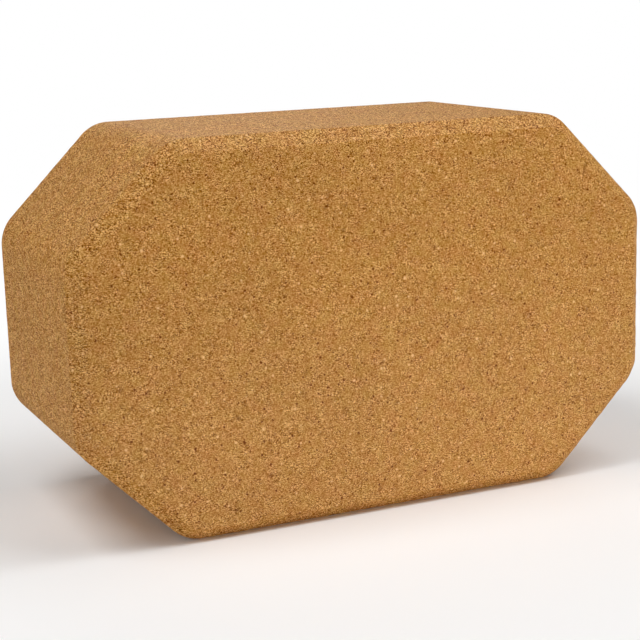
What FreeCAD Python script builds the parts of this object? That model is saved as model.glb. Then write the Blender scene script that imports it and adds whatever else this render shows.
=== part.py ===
"""Octagonal cork yoga block, one piece of bonded cork granules.

The block stands on its long narrow side. X runs along its length, Y through its depth
and Z up. The origin is the middle of the side that it stands on, and the large front
face looks towards -Y. Lengths are in millimetres.
"""
import FreeCAD, Part
import os
import Sketcher

# Driving sizes: name, value, and what it measures on the block.
SIZES = (
    ("block_length", 228.0, "end to end, along X"),
    ("block_height", 141.0, "from the lower long side to the upper one, along Z"),
    ("block_depth", 97.0, "from the front face to the rear face, along Y"),
    ("corner_cut", 38.0, "each leg of the 45 degree cuts, measured on the sharp outline"),
    ("corner_radius", 15.0, "rounding of the eight blunt corners of the outline"),
    ("edge_bevel", 4.8, "each leg of the 45 degree bevel along the edges of the front and rear faces"),
    ("arris_radius", 0.6, "easing of the two arrises that each bevel leaves"),
)

NODE = "cork_block"

# How a sketch numbers the two ends of a line, its own horizontal axis and its origin.
START, END = 1, 2
HORIZONTAL_AXIS = -1
SKETCH_ORIGIN = (HORIZONTAL_AXIS, START)


def add_sizes(doc):
    """Keep the driving sizes in a spreadsheet, one named cell each."""
    sheet = doc.addObject("Spreadsheet::Sheet", "sizes")
    for row, (name, value, meaning) in enumerate(SIZES, start=1):
        sheet.set(f"A{row}", name)
        sheet.set(f"B{row}", str(value))
        sheet.setAlias(f"B{row}", name)
        sheet.set(f"C{row}", meaning)
    doc.recompute()
    return sheet


def origin_plane(body, role):
    """The body's own base plane with this role."""
    return next(plane for plane in body.Origin.OriginFeatures if plane.Role == role)


def outline_corners(sheet):
    """Corners of the sharp octagon in length and height, anticlockwise from the lower left."""
    half_length = sheet.block_length / 2
    side_end = half_length - sheet.corner_cut
    top = sheet.block_height
    end_foot = sheet.corner_cut
    end_head = top - sheet.corner_cut
    lower = [(-side_end, 0), (side_end, 0), (half_length, end_foot)]
    upper = [(half_length, end_head), (side_end, top), (-side_end, top)]
    left_end = [(-half_length, end_head), (-half_length, end_foot)]
    return [FreeCAD.Vector(x, z, 0) for x, z in lower + upper + left_end]


def add_outline(body, sheet):
    """Sketch of the octagon, held by the length, the height and the legs of its four cuts."""
    sketch = body.newObject("Sketcher::SketchObject", "outline")
    sketch.AttachmentSupport = (origin_plane(body, "XZ_Plane"), "")
    sketch.MapMode = "FlatFace"

    def following(items):
        """Each item with the next one round the outline."""
        return zip(items, items[1:] + items[:1])

    def hold(kind, first, second, expression):
        """Hold the distance between two points along one axis by an expression."""
        across = sketch.getPoint(*second) - sketch.getPoint(*first)
        step = across.x if kind == "DistanceX" else across.y
        if step < 0:
            first, second = second, first
        index = sketch.addConstraint(Sketcher.Constraint(kind, *first, *second, abs(step)))
        sketch.setExpression(f"Constraints[{index}]", expression)

    corners = outline_corners(sheet)
    sides = [sketch.addGeometry(Part.LineSegment(*pair)) for pair in following(corners)]
    bottom, lower_right, right, upper_right, top, upper_left, left, lower_left = sides
    for side, neighbour in following(sides):
        sketch.addConstraint(Sketcher.Constraint("Coincident", side, END, neighbour, START))
    for side in (bottom, top):
        sketch.addConstraint(Sketcher.Constraint("Horizontal", side))
    for side in (right, left):
        sketch.addConstraint(Sketcher.Constraint("Vertical", side))
    sketch.addConstraint(Sketcher.Constraint("PointOnObject", bottom, START, HORIZONTAL_AXIS))
    hold("DistanceX", SKETCH_ORIGIN, (right, START), "sizes.block_length / 2")
    hold("DistanceX", (left, START), (right, START), "sizes.block_length")
    hold("DistanceY", (bottom, START), (top, START), "sizes.block_height")
    for cut in (lower_right, upper_right, upper_left, lower_left):
        for kind in ("DistanceX", "DistanceY"):
            hold(kind, (cut, START), (cut, END), "sizes.corner_cut")
    return sketch


def keeps_one_depth(edge):
    """True for an edge that runs round the front or rear face, all at one depth."""
    return edge.BoundBox.YLength < edge.Length / 2


def runs_through_depth(edge):
    """True for an edge that runs from the front face to the rear face."""
    return not keeps_one_depth(edge)


def add_dressing(doc, body, kind, name, base, chosen, measure, size):
    """Fillet or chamfer the chosen edges of a feature, its measure held by one of the driving sizes."""
    doc.recompute()
    numbered = enumerate(base.Shape.Edges, start=1)
    dressing = body.newObject(f"PartDesign::{kind}", name)
    dressing.Base = (base, [f"Edge{number}" for number, edge in numbered if chosen(edge)])
    dressing.setExpression(measure, f"sizes.{size}")
    return dressing


def add_cork_block(doc, sheet):
    """The octagon carried through the depth, its corners blunted, its face edges bevelled and eased."""
    body = doc.addObject("PartDesign::Body", NODE)
    body.Label = NODE
    outline = add_outline(body, sheet)
    slab = body.newObject("PartDesign::Pad", "slab")
    slab.Profile = outline
    slab.SideType = "Symmetric"
    slab.setExpression("Length", "sizes.block_depth")
    dressed = slab
    for kind, name, chosen, measure, size in (
        ("Fillet", "blunt_corners", runs_through_depth, "Radius", "corner_radius"),
        ("Chamfer", "bevelled_edges", keeps_one_depth, "Size", "edge_bevel"),
        ("Fillet", "eased_arrises", keeps_one_depth, "Radius", "arris_radius"),
    ):
        dressed = add_dressing(doc, body, kind, name, dressed, chosen, measure, size)
    body.Tip = dressed
    body.Placement = FreeCAD.Placement()
    return body


def check(doc, pieces):
    """Stop before anything is written if an object failed or a piece has no sound shape."""
    doc.recompute()
    failed = [item.Name for item in doc.Objects if {"Invalid", "Error"} & set(item.State)]
    if failed:
        raise RuntimeError(f"failed objects: {failed}")
    for piece in pieces:
        if piece.Shape.isNull() or not piece.Shape.isValid():
            raise RuntimeError(f"{piece.Label} has no sound shape")


def main():
    """Build the block, check it and write it to its file."""
    doc = FreeCAD.newDocument("yoga_block")
    pieces = [add_cork_block(doc, add_sizes(doc))]
    check(doc, pieces)
    os.makedirs("parts", exist_ok=True)
    for piece in pieces:
        piece.Shape.exportStep(f"parts/{piece.Label}.step")
        print(piece.Label, "solids:", len(piece.Shape.Solids), "volume in cubic mm:", round(piece.Shape.Volume))
        print("box:", piece.Shape.optimalBoundingBox())


main()
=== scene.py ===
"""Looks of the octagonal cork yoga block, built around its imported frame.

X runs along the block, Y through its depth and Z up, in metres. The front face looks towards -Y.
"""
import math

import bpy
import numpy as np
from mathutils import Matrix, Vector


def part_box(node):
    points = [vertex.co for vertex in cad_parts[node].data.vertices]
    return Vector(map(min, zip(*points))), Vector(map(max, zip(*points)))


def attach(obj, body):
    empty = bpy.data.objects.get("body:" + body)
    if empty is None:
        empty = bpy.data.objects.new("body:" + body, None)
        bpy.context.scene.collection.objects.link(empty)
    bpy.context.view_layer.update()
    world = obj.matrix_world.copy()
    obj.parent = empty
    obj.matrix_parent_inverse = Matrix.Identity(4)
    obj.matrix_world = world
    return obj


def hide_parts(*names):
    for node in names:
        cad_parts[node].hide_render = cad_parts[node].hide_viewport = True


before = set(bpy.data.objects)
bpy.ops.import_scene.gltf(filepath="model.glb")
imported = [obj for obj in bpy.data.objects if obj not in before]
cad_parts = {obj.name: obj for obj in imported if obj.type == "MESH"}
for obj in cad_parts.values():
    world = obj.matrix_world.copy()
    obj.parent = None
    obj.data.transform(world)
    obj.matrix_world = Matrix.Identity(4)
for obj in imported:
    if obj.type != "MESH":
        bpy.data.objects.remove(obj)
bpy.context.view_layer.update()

MM = 0.001

# Sizes of the block. The overall ones come from the frame, and the others are as in the part's source.
low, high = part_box("cork_block")
LENGTH, DEPTH, HEIGHT = high - low
CENTRE = (low + high) / 2
CORNER_CUT = 38.0 * MM
CORNER_RADIUS = 15.0 * MM
BEVEL = 4.8 * MM
ARRIS_RADIUS = 0.6 * MM

# Cells of the mesh: along a long side, up an end, across a bevel, round each arris and through the depth.
LONG_CELLS = 186
END_CELLS = 108
BEVEL_CELLS = 8
ARRIS_CELLS = 3
DEPTH_CELLS = 68

# The four sides of the outline, each from the middle of one corner cut to the middle of the next:
# the direction each faces, its distance from the centre, half of its straight run and its cells.
BOTTOM, RIGHT, TOP, LEFT = range(4)
QUARTER_TURN = math.pi / 2
CUT_TURN = math.pi / 4
CORNER_TANGENT = CORNER_RADIUS * math.tan(CUT_TURN / 2)
CORNER_ARC = CORNER_RADIUS * CUT_TURN
HALF_CUT = CORNER_CUT / math.sqrt(2) - CORNER_TANGENT
SIDE_FACING = np.array([-1, 0, 1, 2]) * QUARTER_TURN
SIDE_REACH = np.array([HEIGHT, LENGTH, HEIGHT, LENGTH]) / 2
SIDE_HALF_RUN = np.array([LENGTH, HEIGHT, LENGTH, HEIGHT]) / 2 - CORNER_CUT - CORNER_TANGENT
SIDE_CELLS = np.array([LONG_CELLS, END_CELLS, LONG_CELLS, END_CELLS])

# The section of a bevel: half of its straight run, and how far it and its arrises reach in from an edge.
BEVEL_TURN = math.pi / 4
ARRIS_TANGENT = ARRIS_RADIUS * math.tan(BEVEL_TURN / 2)
HALF_BEVEL = BEVEL / math.sqrt(2) - ARRIS_TANGENT
EDGE_REACH = BEVEL + ARRIS_TANGENT

# Relief of the cork's surface: how deep its waves are on the flats and on the bevels, and its pits.
RELIEF_SEED = 7
RELIEF_WAVES = 96
RELIEF_SHORTEST = 2.6 * MM
RELIEF_LONGEST = 9.0 * MM
FACE_RELIEF = 0.03 * MM
EDGE_RELIEF = 0.11 * MM
PIT_COUNT = 900
PIT_SHALLOWEST = 0.08 * MM
PIT_DEEPEST = 0.45 * MM

# Painted sheen: white mixed into the colour by the upward part of the surface's normal, for light that the
# top and upper bevels reflect. It begins where the surface begins to face up, and is full where it faces up
# more, with more on the bevels. A painted pale haze also lies low down, most under one height and none above
# another, but not where the surface faces down.
PAINTED_SHEEN_BEGINS = 0.55
PAINTED_SHEEN_FULL = 0.95
PAINTED_HAZE_FADES = -0.5
PAINTED_SHEEN_ON_BEVELS = 1.0
PAINTED_HAZE_FULL = 25.0 * MM
PAINTED_HAZE_NONE = 115.0 * MM
PAINTED_HAZE_SHARE = 0.6
PAINTED_SHEEN_COVER = 0.019

# What the cork is made of: how its pieces are stretched along the block, through its depth and upwards, and
# the spacing of its grit, granules and chips. The grit is finer than the picture's points and shows as a
# sandy mottle. A soft noise bends the pieces out of line.
GRAIN_STRETCH = 1.25, 2.2, 0.87
GRIT = 0.25 * MM
GRANULE = 0.76 * MM
CHIP = 2.8 * MM
BEND_SPACING = 3.0 * MM
BEND_REACH = 0.8 * MM
BEND_DETAIL = 3.0

# How strongly each sort changes the tone: grit in smooth and in gritty patches, with a gain from the large
# faces to the sides, granules and chips on the flats and on the bevels, and granules towards the rim.
GRIT_SHARES = 0.75, 1.3
SIDE_GRIT_GAINS = 1.0, 1.38
GRANULE_SHARES = 0.05, 0.09
CHIP_SHARES = 0.02, 0.03
RIM_SHARE = 0.28
MID_TONE = 0.5
PATCH_SPACING = 4.0 * MM
PATCH_DETAIL = 1.0
PATCH_NOISE = 0.35, 0.65

# Colours of the grain by tone, from the darkest to the palest.
GRAIN_COLOURS = (
    (0.0, "#683400"),
    (0.15, "#8c5408"),
    (0.35, "#a67130"),
    (0.5, "#b37f3f"),
    (0.65, "#bf8b4b"),
    (0.85, "#d3a263"),
    (1.0, "#e6b370"),
)

# Pale flecks and dark bark specks: their spacing, largest radius, cover, the chance colour channel that gives
# their size, and colour. The grit tears their rims by this much, and they fade over this width.
SPOTS = (
    (3.2 * MM, 0.6 * MM, 0.75, "Blue", "#ecc088"),
    (3.4 * MM, 0.58 * MM, 1.0, "Green", "#6a3000"),
)
SPOT_TEAR = 0.3 * MM
SPOT_RIM = 0.16 * MM

# Painted shade in the pits, patches of redder or yellower cork and broad lighter or darker clouds.
PIT_SHADE_COLOUR = "#663200"
PIT_SHADE_COVER = 0.8
TINT_SPACING = 6.0 * MM
TINT_HUES = 0.495, 0.505
CLOUD_SPACING = 42.0 * MM
CLOUD_VALUES = 0.96, 1.04
SOFT_DETAIL = 2.0
SOFT_NOISE = 0.3, 0.7

# The cork's finish: dull granules that stand a little proud, a less dull binder, hardly any gloss and a
# faint dusty sheen.
GRANULE_ROUGHNESS = 0.85
BINDER_ROUGHNESS = 0.72
CORK_SPECULAR = 0.02
CORK_SHEEN = 0.045
CORK_SHEEN_ROUGHNESS = 0.25
GRANULE_BUMP = 0.5
GRANULE_PROUD = 0.2 * MM

# Sockets of the mix node where it mixes colours, by number because their names repeat.
MIX_SHARE, MIX_UNDER, MIX_OVER = 0, 6, 7
MIX_RESULT = 2

# Camera, fitted to the block's outline in the photograph.
IMAGE_PIXELS = 640
FOCAL_PIXELS = 1561.0
SENSOR_MM = 36.0
VIEW_AZIMUTH = -24.397
VIEW_ELEVATION = 11.917
VIEW_ROLL = math.radians(-1.671)
VIEW_DISTANCE = 603.3 * MM
VIEW_ACROSS = -1.97 * MM
VIEW_UP = -7.42 * MM

# Soft lights: bearing from the front towards +X and angle of height in degrees, distance from the block's
# centre and width in metres, and power in watts.
LIGHTS = {
    "right_high": (80, 40, 0.80, 0.40, 2.10),
    "front_high": (40, 65, 0.80, 0.40, 1.70),
    "front_low": (14, -4, 0.55, 0.12, 1.38),
    "left_front": (-60, 40, 0.80, 0.40, 0.30),
    "left_high": (-80, 60, 0.80, 0.40, 2.87),
    "left_low": (-88, 15, 0.80, 0.40, 1.20),
    "rear_low": (165, 2, 0.80, 0.40, 3.0),
}
WORLD_STRENGTH = 0.05

# The floor is lit, with the block's shadow on it, near the block, and plain white further off. Lengths are in
# metres.
FLOOR_REACH = 4.0
FLOOR_LIT = 0.13
FLOOR_WHITE = 0.36
SHEET_COLOUR = "#fafafa"
WHITE = "#ffffff"
SHOWN_WHITE = 1.0


def linear(hex_colour):
    """Linear red, green, blue and alpha of an sRGB hex colour."""
    channels = [int(hex_colour[start:start + 2], 16) / 255 for start in (1, 3, 5)]
    return [c / 12.92 if c <= 0.04045 else ((c + 0.055) / 1.055) ** 2.4 for c in channels] + [1.0]


def outline(side, along, inset):
    """Point and outward normal of the rounded octagon, moved inwards by an inset.

    Along runs from -1 to 1 over one side, from mid cut to mid cut: straight over the half run, then round
    the corner's arc, then straight along half of the cut. The normal turns with the arc, and the inset is
    taken along it.
    """
    half_run = SIDE_HALF_RUN[side]
    travel = np.abs(along) * (half_run + CORNER_ARC + HALF_CUT)
    turn = np.clip((travel - half_run) / CORNER_RADIUS, 0, CUT_TURN)
    tail = np.maximum(travel - half_run - CORNER_ARC, 0)
    tangent = np.minimum(travel, half_run) + CORNER_RADIUS * np.sin(turn) + tail * np.cos(turn)
    drop = CORNER_RADIUS * (1 - np.cos(turn)) + tail * np.sin(turn)
    hand = np.where(along < 0, -1, 1)
    facing = SIDE_FACING[side]
    outwards = SIDE_REACH[side] - drop
    normal_angle = facing + hand * turn
    normal = np.stack([np.cos(normal_angle), np.sin(normal_angle)], -1)
    x = outwards * np.cos(facing) - hand * tangent * np.sin(facing)
    z = outwards * np.sin(facing) + hand * tangent * np.cos(facing)
    return np.stack([x, z], -1) - np.asarray(inset)[..., None] * normal, normal


def ring_places():
    """Side and place along it of each point of a ring round the block, anticlockwise from the lower left."""
    sides = np.repeat(np.arange(len(SIDE_CELLS)), SIDE_CELLS)
    steps = np.concatenate([np.arange(cells) for cells in SIDE_CELLS])
    return sides, 2 * steps / SIDE_CELLS[sides] - 1


def bevel_profile():
    """Section of one bevelled edge, from the large face to the side: inset, depth and lean of each ring.

    The middle of the bevel halves the corner. Either way from it the section runs straight, then turns round
    the arris by an eighth of a turn. The lean is the angle that the surface has turned from the large face.
    """
    straight = np.linspace(-HALF_BEVEL, HALF_BEVEL, BEVEL_CELLS + 1)
    round_arris = HALF_BEVEL + np.linspace(0, ARRIS_RADIUS * BEVEL_TURN, ARRIS_CELLS + 1)[1:]
    travel = np.concatenate([-round_arris[::-1], straight, round_arris])
    hand = np.sign(travel)
    turn = np.maximum(np.abs(travel) - HALF_BEVEL, 0) / ARRIS_RADIUS
    run = np.minimum(np.abs(travel), HALF_BEVEL) + ARRIS_RADIUS * np.sin(turn)
    drop = ARRIS_RADIUS * (1 - np.cos(turn))
    inset = BEVEL / 2 + (drop - hand * run) * math.sin(BEVEL_TURN)
    depth = BEVEL / 2 + (drop + hand * run) * math.sin(BEVEL_TURN)
    return inset, depth, BEVEL_TURN + hand * turn


def edge_band():
    """Rings from the front face's edge over the front bevel, back through the depth and over the rear bevel.

    Each ring is the outline at one depth and inset, which follow the bevel's section at both ends and are
    level between them. The first level ring lies close to the arris, to keep it crisp. A normal is the
    outline's, shortened, with the lean towards the front or rear face.
    """
    bevel_inset, bevel_depth, turned = bevel_profile()
    half_flat = DEPTH / 2 - EDGE_REACH - ARRIS_RADIUS
    flat = np.linspace(-half_flat, half_flat, DEPTH_CELLS + 1)
    level = np.zeros_like(flat)
    depth = np.concatenate([bevel_depth - DEPTH / 2, flat, DEPTH / 2 - bevel_depth[::-1]])
    inset = np.concatenate([bevel_inset, level, bevel_inset[::-1]])
    lean = np.concatenate([-np.cos(turned), level, np.cos(turned[::-1])])
    side, along = ring_places()
    shape = len(depth), len(side)
    all_sides = np.broadcast_to(side, shape)
    all_along = np.broadcast_to(along, shape)
    flat_point, flat_normal = outline(all_sides, all_along, inset[:, None])
    y = np.broadcast_to(depth[:, None], shape)
    points = np.stack([flat_point[..., 0], y, flat_point[..., 1]], -1)
    upright = np.sqrt(1 - lean ** 2)[:, None]
    normal_y = np.broadcast_to(lean[:, None], shape)
    normals = np.stack([flat_normal[..., 0] * upright, normal_y, flat_normal[..., 1] * upright], -1)
    return points, normals


def face_grid():
    """Points of one large face in length and height, as rings of the octagon about the face's centre.

    A square of two parameters is cut into rings by the larger of their sizes. A ring's place round the square
    gives its place round the outline, and the outline is drawn in towards the centre by the ring's size.
    """
    across_steps = np.linspace(-1, 1, LONG_CELLS + 1)
    up_steps = np.linspace(-1, 1, END_CELLS + 1)
    across, up = np.meshgrid(across_steps, up_steps, indexing="ij")
    size = np.maximum(np.abs(across), np.abs(up))
    divisor = np.where(size > 0, size, 1)
    upper_or_lower = np.abs(up) >= np.abs(across)
    side = np.where(upper_or_lower, np.where(up < 0, BOTTOM, TOP), np.where(across > 0, RIGHT, LEFT))
    along = np.choose(side, [across, up, -across, -up]) / divisor
    edge, _ = outline(side, along, np.full(side.shape, EDGE_REACH))
    return size[..., None] * edge


def face_ring_index(ring_count):
    """For each point on a face grid's border, its number on the ring round the block, and -1 elsewhere."""
    i, j = np.meshgrid(np.arange(LONG_CELLS + 1), np.arange(END_CELLS + 1), indexing="ij")
    index = np.full(i.shape, -1)
    index[:, 0] = i[:, 0]
    index[-1, :] = LONG_CELLS + j[-1, :]
    index[:, -1] = 2 * LONG_CELLS + END_CELLS - i[:, -1]
    index[0, 1:] = 2 * (LONG_CELLS + END_CELLS) - j[0, 1:]
    return np.where(index < 0, -1, index % ring_count)


def quads(index):
    """Four corners of each cell of a grid of point numbers."""
    return np.stack([index[:-1, :-1], index[1:, :-1], index[1:, 1:], index[:-1, 1:]], -1).reshape(-1, 4)


def block_surface():
    """The closed surface: a band of rings and two face grids that share its first and last ring."""
    points, normals = edge_band()
    rows, columns = points.shape[:2]
    band = np.arange(rows * columns).reshape(rows, columns)
    faces = [quads(np.concatenate([band, band[:, :1]], 1))]
    all_points = [points.reshape(-1, 3)]
    all_normals = [normals.reshape(-1, 3)]
    flat = face_grid()
    on_ring = face_ring_index(columns)
    inner = on_ring < 0
    start = rows * columns
    for row, facing in ((0, -1), (rows - 1, 1)):
        index = band[row][on_ring]
        index[inner] = start + np.arange(inner.sum())
        start += inner.sum()
        cells = quads(index)
        faces.append(cells if facing < 0 else cells[:, ::-1])
        x, z = flat[inner].T
        all_points.append(np.stack([x, np.full_like(x, facing * DEPTH / 2), z], 1))
        all_normals.append(np.tile([0.0, facing, 0.0], (inner.sum(), 1)))
    return np.concatenate(all_points) + np.array(CENTRE), np.concatenate(all_normals), np.concatenate(faces)


def cork_relief(points, bevelled, rng):
    """How far each point is sunk, and the share of the deepest pit that it has.

    A sum of plane waves of random direction, length and phase sinks the surface by up to twice its relief,
    more on the bevels than on the flats. Single points are pressed further in as pits, most of them shallow.
    """
    direction = rng.normal(size=(RELIEF_WAVES, 3))
    direction /= np.linalg.norm(direction, axis=1, keepdims=True)
    wavelength = RELIEF_SHORTEST * (RELIEF_LONGEST / RELIEF_SHORTEST) ** rng.random(RELIEF_WAVES)
    phase = rng.random(RELIEF_WAVES) * 2 * math.pi
    waves = np.cos(points @ (direction * (2 * math.pi / wavelength)[:, None]).T + phase)
    swell = waves.sum(1) / math.sqrt(RELIEF_WAVES / 2)
    amplitude = FACE_RELIEF + (EDGE_RELIEF - FACE_RELIEF) * bevelled
    sunk = amplitude * np.clip(1 + swell / 2, 0, 2)
    pit = np.zeros(len(points))
    chosen = rng.choice(len(points), PIT_COUNT, replace=False)
    pit[chosen] = PIT_SHALLOWEST + (PIT_DEEPEST - PIT_SHALLOWEST) * rng.random(PIT_COUNT) ** 2
    return sunk + pit, pit / PIT_DEEPEST


def smoothstep(start, end, values):
    """0 before the start, 1 past the end and a smooth step between them."""
    share = np.clip((values - start) / (end - start), 0, 1)
    return share * share * (3 - 2 * share)


def side_and_bevel(normals):
    """How far each point belongs to the sides and to the bevels.

    These are the sine of the surface's lean from the large faces and the sine of twice that lean.
    """
    facing = np.abs(normals[:, 1])
    side = np.sqrt(np.clip(1 - facing ** 2, 0, 1))
    return side, 2 * facing * side


def painted_sheen_share(points, normals, bevelled):
    """How much painted sheen each point has, white that stands in for reflected light: the more of two
    shares.

    One is a smooth step by how far the surface faces up, with more on the bevels. The other is a smooth step
    by height, a painted pale haze low down, which fades where the surface faces down.
    """
    upward = smoothstep(PAINTED_SHEEN_BEGINS, PAINTED_SHEEN_FULL, normals[:, 2]) * (1 + PAINTED_SHEEN_ON_BEVELS * bevelled)
    low_down = PAINTED_HAZE_SHARE * smoothstep(PAINTED_HAZE_NONE, PAINTED_HAZE_FULL, points[:, 2])
    painted_haze = low_down * smoothstep(PAINTED_HAZE_FADES, 0, normals[:, 2])
    return np.maximum(upward, painted_haze)


def add_mesh(name, points, faces):
    """A smooth-shaded mesh object at the origin."""
    mesh = bpy.data.meshes.new(name)
    mesh.vertices.add(len(points))
    mesh.vertices.foreach_set("co", np.asarray(points, np.float32).ravel())
    mesh.loops.add(faces.size)
    mesh.loops.foreach_set("vertex_index", np.asarray(faces, np.int32).ravel())
    mesh.polygons.add(len(faces))
    mesh.polygons.foreach_set("loop_start", np.arange(0, faces.size, faces.shape[1], dtype=np.int32))
    mesh.polygons.foreach_set("use_smooth", np.ones(len(faces), bool))
    mesh.update(calc_edges=True)
    mesh.validate()
    piece = bpy.data.objects.new(name, mesh)
    bpy.context.scene.collection.objects.link(piece)
    return piece


def add_attribute(piece, name, values):
    """One number for each point of a piece, for its material to read."""
    attribute = piece.data.attributes.new(name, "FLOAT", "POINT")
    attribute.data.foreach_set("value", np.asarray(values, np.float32))


def new_material(name):
    """An empty node material."""
    material = bpy.data.materials.new(name)
    material.use_nodes = True
    material.node_tree.nodes.clear()
    return material


def add_node(tree, kind, settings=None, links=None):
    """Add a node, set its options and socket values, and link its inputs from other nodes' outputs."""
    node = tree.nodes.new(kind)
    for name, value in (settings or {}).items():
        if isinstance(name, str) and hasattr(node, name):
            setattr(node, name, value)
        else:
            node.inputs[name].default_value = value
    for name, source in (links or {}).items():
        tree.links.new(source, node.inputs[name])
    return node


def agglomerated_cork():
    """Agglomerated cork, sanded: granules under a millimetre or so, pressed with a binder.

    The eye gets a fine sandy speckle of tan, honey and brown with dark bark specks and pale flecks, dry and
    matte, with a dusty bloom where it is seen at a slant, painted sheen on the upward faces, painted shade in
    the pits and an open, rougher grain on the bevelled edges.
    """
    material = new_material("agglomerated_cork_sanded")
    tree = material.node_tree
    place = add_node(tree, "ShaderNodeTexCoord").outputs["Object"]
    side, open_grain, pit, painted_sheen = (
        add_node(tree, "ShaderNodeAttribute", {"attribute_name": name}).outputs["Fac"]
        for name in ("side", "open_grain", "pit", "painted_sheen")
    )

    # Pressed granules lie flat, longer along the block and through its depth than they are high. They are
    # uneven too, so their lattice is bent by a soft noise, and so is the upright lattice of the spots.
    lain = add_node(tree, "ShaderNodeVectorMath", {"operation": "DIVIDE", 1: GRAIN_STRETCH},
                    {0: place}).outputs[0]
    bend = add_node(tree, "ShaderNodeTexNoise", {"Scale": 1 / BEND_SPACING, "Detail": BEND_DETAIL},
                    {"Vector": lain}).outputs["Color"]
    bent, torn = (
        add_node(tree, "ShaderNodeVectorMath", {"operation": "MULTIPLY_ADD", 1: [BEND_REACH] * 3},
                 {0: bend, 2: lattice}).outputs[0]
        for lattice in (lain, place)
    )

    # How strongly each sort of piece shows: grit by patches and more on the sides, granules and chips more on
    # the bevels.
    patch = add_node(tree, "ShaderNodeTexNoise", {"Scale": 1 / PATCH_SPACING, "Detail": PATCH_DETAIL},
                     {"Vector": place}).outputs["Fac"]
    patch_share = add_node(tree, "ShaderNodeMapRange",
                           {"From Min": PATCH_NOISE[0], "From Max": PATCH_NOISE[1],
                            "To Min": GRIT_SHARES[0], "To Max": GRIT_SHARES[1]},
                           {"Value": patch}).outputs[0]
    side_gain, granule_share, chip_share = (
        add_node(tree, "ShaderNodeMapRange", {"To Min": least, "To Max": most}, {"Value": where}).outputs[0]
        for where, (least, most) in (
            (side, SIDE_GRIT_GAINS),
            (open_grain, GRANULE_SHARES),
            (open_grain, CHIP_SHARES),
        )
    )
    grit_share = add_node(tree, "ShaderNodeMath", {"operation": "MULTIPLY"},
                          {0: patch_share, 1: side_gain}).outputs[0]

    # Tone: granules darken towards the rim, and each chip, granule and grain of grit adds a chance shade.
    cells = {spacing: add_node(tree, "ShaderNodeTexVoronoi", {"Scale": 1 / spacing}, {"Vector": bent}).outputs
             for spacing in (GRIT, GRANULE, CHIP)}
    to_rim = cells[GRANULE]["Distance"]
    tone = add_node(tree, "ShaderNodeMapRange",
                    {"clamp": False, "To Min": MID_TONE + RIM_SHARE / 2, "To Max": MID_TONE - RIM_SHARE / 2},
                    {"Value": to_rim}).outputs[0]
    shades = {}
    for spacing, share in ((CHIP, chip_share), (GRANULE, granule_share), (GRIT, grit_share)):
        chance = add_node(tree, "ShaderNodeSeparateColor", None, {"Color": cells[spacing]["Color"]})
        shades[spacing] = add_node(tree, "ShaderNodeMath", {"operation": "SUBTRACT", 1: MID_TONE},
                                   {0: chance.outputs["Red"]}).outputs[0]
        tone = add_node(tree, "ShaderNodeMath", {"operation": "MULTIPLY_ADD"},
                        {0: shades[spacing], 1: share, 2: tone}).outputs[0]
    ramp = add_node(tree, "ShaderNodeValToRGB", None, {"Fac": tone})
    stops = ramp.color_ramp.elements
    while len(stops) < len(GRAIN_COLOURS):
        stops.new(MID_TONE)
    for stop, (position, grain_colour) in zip(stops, GRAIN_COLOURS):
        stop.position = position
        stop.color = linear(grain_colour)
    colour = ramp.outputs["Color"]

    # Pale flecks and bark specks: spots of chance size about scattered points, torn at the rim by the grit.
    for spacing, largest, most, channel, spot_colour in SPOTS:
        spots = add_node(tree, "ShaderNodeTexVoronoi", {"Scale": 1 / spacing}, {"Vector": torn}).outputs
        chance = add_node(tree, "ShaderNodeSeparateColor", None, {"Color": spots["Color"]}).outputs[channel]
        away = add_node(tree, "ShaderNodeMath", {"operation": "MULTIPLY_ADD", 1: SPOT_TEAR / spacing},
                        {0: shades[GRIT], 2: spots["Distance"]}).outputs[0]
        size = add_node(tree, "ShaderNodeMath", {"operation": "MULTIPLY", 1: largest / spacing},
                        {0: chance}).outputs[0]
        inside = add_node(tree, "ShaderNodeMath", {"operation": "SUBTRACT"}, {0: size, 1: away}).outputs[0]
        cover = add_node(tree, "ShaderNodeMapRange", {"From Max": SPOT_RIM / spacing, "To Max": most},
                         {"Value": inside}).outputs[0]
        colour = add_node(tree, "ShaderNodeMix", {"data_type": "RGBA", MIX_OVER: linear(spot_colour)},
                          {MIX_SHARE: cover, MIX_UNDER: colour}).outputs[MIX_RESULT]

    # Painted shade: pits are darkened by their depth, as shade falls in them.
    pit_shade_cover = add_node(tree, "ShaderNodeMath", {"operation": "MULTIPLY", 1: PIT_SHADE_COVER}, {0: pit}).outputs[0]
    colour = add_node(tree, "ShaderNodeMix", {"data_type": "RGBA", MIX_OVER: linear(PIT_SHADE_COLOUR)},
                      {MIX_SHARE: pit_shade_cover, MIX_UNDER: colour}).outputs[MIX_RESULT]

    # Patches a little redder or yellower, broad clouds a little lighter or darker, and white mixed in as
    # painted sheen on the upward faces and a painted pale haze low down.
    changes = {}
    for change, spacing, (least, most) in (("Hue", TINT_SPACING, TINT_HUES),
                                           ("Value", CLOUD_SPACING, CLOUD_VALUES)):
        noise = add_node(tree, "ShaderNodeTexNoise", {"Scale": 1 / spacing, "Detail": SOFT_DETAIL},
                         {"Vector": place}).outputs["Fac"]
        changes[change] = add_node(tree, "ShaderNodeMapRange",
                                   {"From Min": SOFT_NOISE[0], "From Max": SOFT_NOISE[1],
                                    "To Min": least, "To Max": most},
                                   {"Value": noise}).outputs[0]
    colour = add_node(tree, "ShaderNodeHueSaturation", None, {"Color": colour, **changes}).outputs["Color"]
    painted_sheen_cover = add_node(tree, "ShaderNodeMath", {"operation": "MULTIPLY", 1: PAINTED_SHEEN_COVER},
                          {0: painted_sheen}).outputs[0]
    colour = add_node(tree, "ShaderNodeMix", {"data_type": "RGBA", MIX_OVER: linear(WHITE)},
                      {MIX_SHARE: painted_sheen_cover, MIX_UNDER: colour}).outputs[MIX_RESULT]

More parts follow.
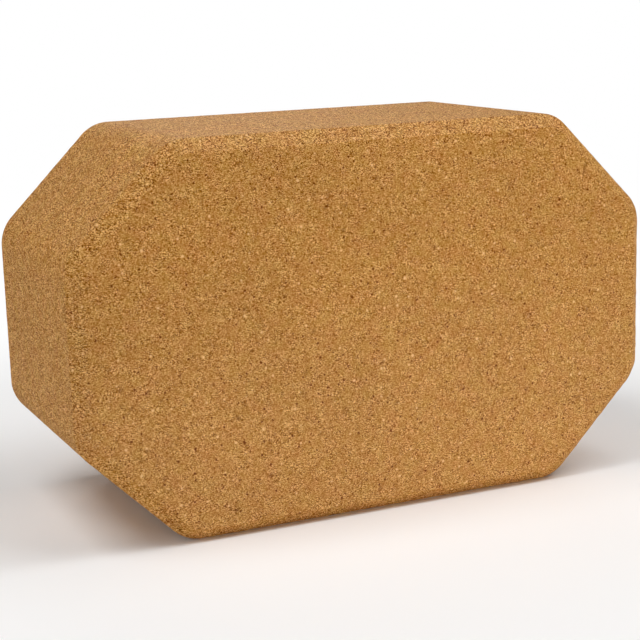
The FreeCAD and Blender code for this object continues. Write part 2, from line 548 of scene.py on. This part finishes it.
    # Granules stand a little proud of the binder between them, and the binder is a little less dull.
    bump = add_node(tree, "ShaderNodeBump",
                    {"Strength": GRANULE_BUMP, "Distance": GRANULE_PROUD, "invert": True},
                    {"Height": to_rim}).outputs["Normal"]
    dullness = add_node(tree, "ShaderNodeMapRange", {"To Min": GRANULE_ROUGHNESS, "To Max": BINDER_ROUGHNESS},
                        {"Value": to_rim}).outputs[0]
    shader = add_node(tree, "ShaderNodeBsdfPrincipled",
                      {"Specular IOR Level": CORK_SPECULAR, "Sheen Weight": CORK_SHEEN,
                       "Sheen Roughness": CORK_SHEEN_ROUGHNESS},
                      {"Base Color": colour, "Roughness": dullness, "Normal": bump}).outputs["BSDF"]
    add_node(tree, "ShaderNodeOutputMaterial", None, {"Surface": shader})
    return material


def seen_directly(tree):
    """1 for rays from the camera, or from it by way of gloss or glass, and 0 for rays that light things."""
    path = add_node(tree, "ShaderNodeLightPath").outputs
    gloss = add_node(tree, "ShaderNodeMath", {"operation": "MAXIMUM"},
                     {0: path["Is Camera Ray"], 1: path["Is Glossy Ray"]}).outputs[0]
    return add_node(tree, "ShaderNodeMath", {"operation": "MAXIMUM"},
                    {0: gloss, 1: path["Is Transmission Ray"]}).outputs[0]


def pale_floor():
    """White studio sheet, matte: it takes the block's shadow, and further off the eye sees plain white."""
    material = new_material("white_matte_studio_sheet")
    tree = material.node_tree
    place = add_node(tree, "ShaderNodeTexCoord").outputs["Object"]
    away = add_node(tree, "ShaderNodeVectorMath", {"operation": "LENGTH"}, {0: place}).outputs["Value"]
    far = add_node(tree, "ShaderNodeMapRange",
                   {"interpolation_type": "SMOOTHSTEP", "From Min": FLOOR_LIT, "From Max": FLOOR_WHITE},
                   {"Value": away}).outputs[0]
    shown = add_node(tree, "ShaderNodeMath", {"operation": "MULTIPLY"},
                     {0: far, 1: seen_directly(tree)}).outputs[0]
    lit = add_node(tree, "ShaderNodeBsdfDiffuse", {"Color": linear(SHEET_COLOUR)}).outputs[0]
    white = add_node(tree, "ShaderNodeEmission", {"Color": linear(WHITE), "Strength": SHOWN_WHITE}).outputs[0]
    mix = add_node(tree, "ShaderNodeMixShader", None, {"Fac": shown, 1: lit, 2: white}).outputs[0]
    add_node(tree, "ShaderNodeOutputMaterial", None, {"Surface": mix})
    return material


def add_block():
    """The cork block, which stands for the frame's solid."""
    points, normals, faces = block_surface()
    side, bevelled = side_and_bevel(normals)
    sunk, pit = cork_relief(points, bevelled, np.random.default_rng(RELIEF_SEED))
    block = add_mesh("cork_block_surface", points - normals * sunk[:, None], faces)
    add_attribute(block, "side", side)
    add_attribute(block, "open_grain", bevelled)
    # Painted sheen: white mixed in where the surface faces up, more on the bevels, and a painted pale haze
    # low down.
    add_attribute(block, "painted_sheen", painted_sheen_share(points, normals, bevelled))
    # The pit's depth share also darkens its colour in the material, as painted shade.
    add_attribute(block, "pit", pit)
    block.data.materials.append(agglomerated_cork())
    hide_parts("cork_block")
    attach(block, "root")


def add_floor():
    """The sheet that the block stands on."""
    corners = FLOOR_REACH * np.array([[-1, -1, 0], [1, -1, 0], [1, 1, 0], [-1, 1, 0]])
    floor = add_mesh("floor", corners, np.array([[0, 1, 2, 3]]))
    floor.data.materials.append(pale_floor())


def direction_to(bearing, height):
    """Unit vector at a bearing from the front towards +X and an angle of height, both in degrees."""
    across = math.radians(bearing)
    up = math.radians(height)
    return Vector((math.sin(across) * math.cos(up), -math.cos(across) * math.cos(up), math.sin(up)))


def add_camera():
    """Camera on the line of sight, turned about it by the roll and moved across and up in its own plane."""
    back = direction_to(VIEW_AZIMUTH, VIEW_ELEVATION)
    right = (-back).cross(Vector((0, 0, 1))).normalized()
    up = right.cross(-back)
    turned_right = right * math.cos(VIEW_ROLL) + up * math.sin(VIEW_ROLL)
    turned_up = up * math.cos(VIEW_ROLL) - right * math.sin(VIEW_ROLL)
    data = bpy.data.cameras.new("camera")
    data.sensor_width = SENSOR_MM
    data.lens = SENSOR_MM * FOCAL_PIXELS / IMAGE_PIXELS
    camera = bpy.data.objects.new("camera", data)
    camera.matrix_world = Matrix((turned_right, turned_up, back)).transposed().to_4x4()
    camera.location = CENTRE + back * VIEW_DISTANCE + turned_right * VIEW_ACROSS + turned_up * VIEW_UP
    bpy.context.scene.collection.objects.link(camera)
    bpy.context.scene.camera = camera


def add_lights():
    """Square soft lights about the block, each looking at its centre."""
    for name, (bearing, height, distance, width, power) in LIGHTS.items():
        direction = direction_to(bearing, height)
        data = bpy.data.lights.new(name, "AREA")
        data.size = width
        data.energy = power
        light = bpy.data.objects.new(name, data)
        light.location = CENTRE + direction * distance
        light.rotation_euler = direction.to_track_quat("Z", "Y").to_euler()
        bpy.context.scene.collection.objects.link(light)


def add_world():
    """Even white surroundings: a little light on the block, and plain white to the eye."""
    world = bpy.data.worlds.new("studio")
    bpy.context.scene.world = world
    world.use_nodes = True
    tree = world.node_tree
    tree.nodes.clear()
    light, shown = (
        add_node(tree, "ShaderNodeBackground", {"Color": linear(WHITE), "Strength": strength}).outputs[0]
        for strength in (WORLD_STRENGTH, SHOWN_WHITE)
    )
    mix = add_node(tree, "ShaderNodeMixShader", None, {"Fac": seen_directly(tree), 1: light, 2: shown})
    add_node(tree, "ShaderNodeOutputWorld", None, {"Surface": mix.outputs[0]})


add_block()
add_floor()
add_camera()
add_lights()
add_world()
bpy.context.scene.view_settings.view_transform = "Standard"
